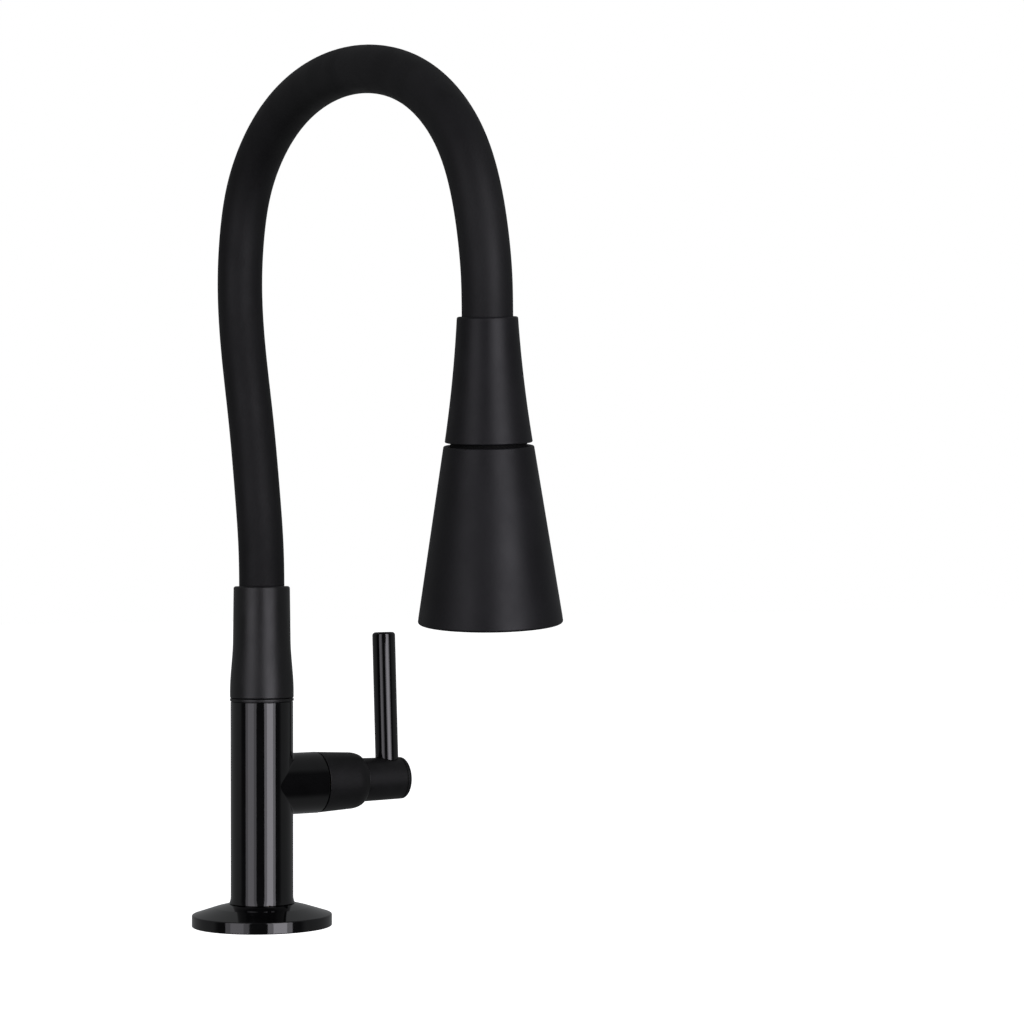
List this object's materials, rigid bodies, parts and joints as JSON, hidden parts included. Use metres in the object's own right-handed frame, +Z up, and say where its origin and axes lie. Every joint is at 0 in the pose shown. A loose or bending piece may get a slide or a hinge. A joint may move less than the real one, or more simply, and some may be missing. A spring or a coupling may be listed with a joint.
{
  "type": "kitchen faucet",
  "caption": "Deck-mounted kitchen faucet: glossy black column with a side lever, matt black flexible gooseneck and a conical spray head.",
  "frame": {"origin": "centre of the base on the deck's top surface", "axes": "+Z up along the column, +X along the valve arm, -Y the way the spout arches, towards the user"},
  "size_m": [0.1193, 0.2701, 0.4953],
  "materials": {
    "gloss_black": "gloss black coating on brass",
    "matt_black": "matt black, very fine grain",
    "sleeve_rubber": "matt black moulded rubber",
    "seal_rubber": "black rubber",
    "brass": "turned brass",
    "steel": "stainless steel",
    "ceramic": "lapped alumina",
    "black_plastic": "black moulded plastic",
    "silicone": "dark grey silicone"
  },
  "bodies": {
    "base": {"base_flange": "gloss_black", "base_gasket": "seal_rubber", "column_body": "gloss_black", "mounting_shank": "brass", "shank_seal": "seal_rubber", "deck_rubber_washer": "seal_rubber", "deck_steel_washer": "steel", "shank_nut": "brass", "cartridge_body": "brass", "cartridge_seal": "seal_rubber", "seat_seal": "seal_rubber", "fixed_ceramic_disc": "ceramic", "swivel_washer": "black_plastic", "spigot_nut": "brass"},
    "handle": {"turning_ceramic_disc": "ceramic", "spindle": "brass", "spindle_seal": "seal_rubber", "spindle_circlip": "steel", "handle_bell": "gloss_black", "lever_hub": "gloss_black", "hub_screw": "steel", "hub_end_cap": "gloss_black", "lever_rod": "gloss_black", "lever_stud": "steel"},
    "spout_base": {"swivel_spigot": "brass", "spigot_seal_lower": "seal_rubber", "spigot_seal_upper": "seal_rubber", "swivel_ring": "matt_black", "neck_collar": "matt_black", "lower_ferrule": "brass", "neck_sleeve_lower": "sleeve_rubber"},
    "neck_middle": {"neck_sleeve_lower_bend": "sleeve_rubber", "neck_sleeve_middle": "sleeve_rubber", "neck_sleeve_crown_bend": "sleeve_rubber", "gooseneck_core": "steel", "water_tube": "silicone"},
    "neck_tip": {"neck_sleeve_upper": "sleeve_rubber", "upper_ferrule": "brass", "head_upper_cone": "matt_black", "head_nipple": "brass", "nipple_seal": "seal_rubber", "nipple_circlip": "steel", "detent_ring": "black_plastic", "diverter_cup": "black_plastic"},
    "spray_head": {"spray_shell": "matt_black", "water_distributor": "black_plastic", "nozzle_mat": "silicone", "spray_faceplate": "black_plastic", "aerator_housing": "brass", "aerator_insert": "black_plastic"}
  },
  "joints": [
    {"name": "handle_turn", "type": "hinge", "parent": "base", "child": "handle", "pos_m": [0.0312, 0, 0.0718], "axis": [1, 0, 0], "range_deg": [0, 90]},
    {"name": "spout_swivel", "type": "hinge", "parent": "base", "child": "spout_base", "pos_m": [0, 0, 0.1147], "axis": [0, 0, 1], "continuous": true},
    {"name": "neck_lower_bend", "type": "hinge", "parent": "spout_base", "child": "neck_middle", "pos_m": [0, 0.00723, 0.23618], "axis": [1, 0, 0], "range_deg": [-15, 25], "deforming": ["neck_sleeve_lower_bend", "gooseneck_core", "water_tube"]},
    {"name": "neck_crown_bend", "type": "hinge", "parent": "neck_middle", "child": "neck_tip", "pos_m": [0, -0.07925, 0.42563], "axis": [1, 0, 0], "range_deg": [-25, 10], "deforming": ["neck_sleeve_crown_bend", "gooseneck_core", "water_tube"]},
    {"name": "spray_head_turn", "type": "hinge", "parent": "neck_tip", "child": "spray_head", "pos_m": [0.0015, -0.2139, 0.2965], "axis": [-0.0673, -0.091, 0.9936], "range_deg": [0, 90]}
  ]
}
